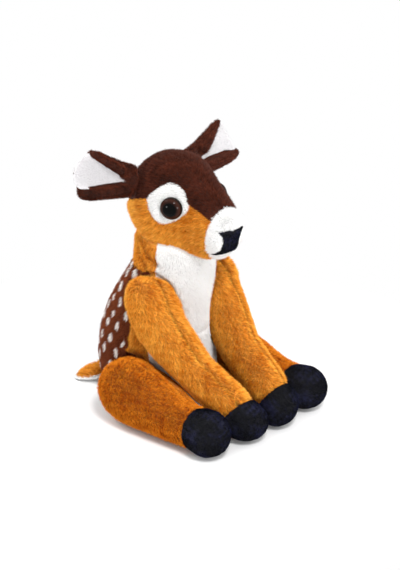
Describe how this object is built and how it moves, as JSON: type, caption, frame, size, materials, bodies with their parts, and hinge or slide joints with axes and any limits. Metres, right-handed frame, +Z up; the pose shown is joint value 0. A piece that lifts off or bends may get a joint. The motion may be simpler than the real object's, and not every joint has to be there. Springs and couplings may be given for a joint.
{
  "type": "plush deer",
  "caption": "Seated stuffed deer sewn from plush panels, with movable head, ears, legs and tail and safety eyes.",
  "frame": {"origin": "middle of the flat seat under the torso, on the surface it sits on", "axes": "+Z up, the deer faces -Y, its left side is +X"},
  "size_m": [0.2002, 0.2356, 0.2535],
  "materials": {
    "white_plush": "soft short pile",
    "orange_plush": "soft short pile",
    "red_brown_plush": "soft short pile with white spots",
    "dark_brown_plush": "soft short pile",
    "black_velvet": "matt velvet",
    "white_fibre": "loose fibre",
    "eye_plastic": "polished",
    "washer_plastic": "moulded"
  },
  "bodies": {
    "torso": {"torso_filling": "white_fibre", "chest_panel": "white_plush", "belly_panel": "white_plush", "gusset_panel_right": "orange_plush", "gusset_panel_left": "orange_plush", "side_panel_right": "orange_plush", "side_panel_left": "orange_plush", "back_panel": "red_brown_plush", "neck_panel_right": "orange_plush", "neck_panel_left": "orange_plush", "seat_panel": "orange_plush"},
    "neck": {"neck_filling": "white_fibre"},
    "head": {"head_filling": "white_fibre", "crown_panel": "dark_brown_plush", "cheek_panel_right": "orange_plush", "cheek_panel_left": "orange_plush", "eye_patch_right": "white_plush", "eye_patch_left": "white_plush", "muzzle_panel": "white_plush", "nose_panel": "black_velvet", "eye_right": "eye_plastic", "eye_left": "eye_plastic", "eye_washer_right": "washer_plastic", "eye_washer_left": "washer_plastic"},
    "ear_right": {"ear_back_right": "dark_brown_plush", "ear_lining_right": "white_plush"},
    "ear_left": {"ear_back_left": "dark_brown_plush", "ear_lining_left": "white_plush"},
    "front_leg_right": {"front_leg_filling_right": "white_fibre", "front_leg_outer_panel_right": "orange_plush", "front_leg_inner_panel_right": "orange_plush", "front_leg_hoof_right": "black_velvet"},
    "front_leg_left": {"front_leg_filling_left": "white_fibre", "front_leg_outer_panel_left": "orange_plush", "front_leg_inner_panel_left": "orange_plush", "front_leg_hoof_left": "black_velvet"},
    "hind_leg_right": {"hind_leg_filling_right": "white_fibre", "hind_leg_outer_panel_right": "orange_plush", "hind_leg_inner_panel_right": "orange_plush", "hind_leg_hoof_right": "black_velvet"},
    "hind_leg_left": {"hind_leg_filling_left": "white_fibre", "hind_leg_outer_panel_left": "orange_plush", "hind_leg_inner_panel_left": "orange_plush", "hind_leg_hoof_left": "black_velvet"},
    "tail": {"tail_top": "orange_plush", "tail_underside": "white_plush"}
  },
  "joints": [
    {"name": "head_turn", "type": "hinge", "parent": "torso", "child": "neck", "pos_m": [0, -0.018, 0.132], "axis": [0, 0, 1], "range_deg": [-35, 35], "stiffness_Nm_per_rad": 0.3},
    {"name": "head_nod", "type": "hinge", "parent": "neck", "child": "head", "pos_m": [0, -0.018, 0.132], "axis": [-1, 0, 0], "range_deg": [-20, 15], "stiffness_Nm_per_rad": 0.5},
    {"name": "ear_swing_right", "type": "hinge", "parent": "head", "child": "ear_right", "pos_m": [-0.0375, -0.008, 0.2175], "axis": [0.3328, 0.1599, 0.9294], "range_deg": [-20, 20], "stiffness_Nm_per_rad": 0.02},
    {"name": "ear_swing_left", "type": "hinge", "parent": "head", "child": "ear_left", "pos_m": [0.0375, -0.008, 0.2175], "axis": [0.3328, -0.1599, -0.9294], "range_deg": [-20, 20], "stiffness_Nm_per_rad": 0.02},
    {"name": "front_leg_lift_right", "type": "hinge", "parent": "torso", "child": "front_leg_right", "pos_m": [-0.044, -0.034, 0.113], "axis": [-1, 0, 0], "range_deg": [0, 30], "stiffness_Nm_per_rad": 0.1},
    {"name": "front_leg_lift_left", "type": "hinge", "parent": "torso", "child": "front_leg_left", "pos_m": [0.044, -0.034, 0.113], "axis": [-1, 0, 0], "range_deg": [0, 30], "stiffness_Nm_per_rad": 0.1},
    {"name": "hind_leg_spread_right", "type": "hinge", "parent": "torso", "child": "hind_leg_right", "pos_m": [-0.06, -0.018, 0.0305], "axis": [0, 0, -1], "range_deg": [0, 30], "stiffness_Nm_per_rad": 0.1},
    {"name": "hind_leg_spread_left", "type": "hinge", "parent": "torso", "child": "hind_leg_left", "pos_m": [0.06, -0.018, 0.0305], "axis": [0, 0, 1], "range_deg": [0, 30], "stiffness_Nm_per_rad": 0.1},
    {"name": "tail_wag", "type": "hinge", "parent": "torso", "child": "tail", "pos_m": [0, 0.0512, 0.014], "axis": [0, 0, -1], "range_deg": [0, 90], "stiffness_Nm_per_rad": 0.02}
  ]
}
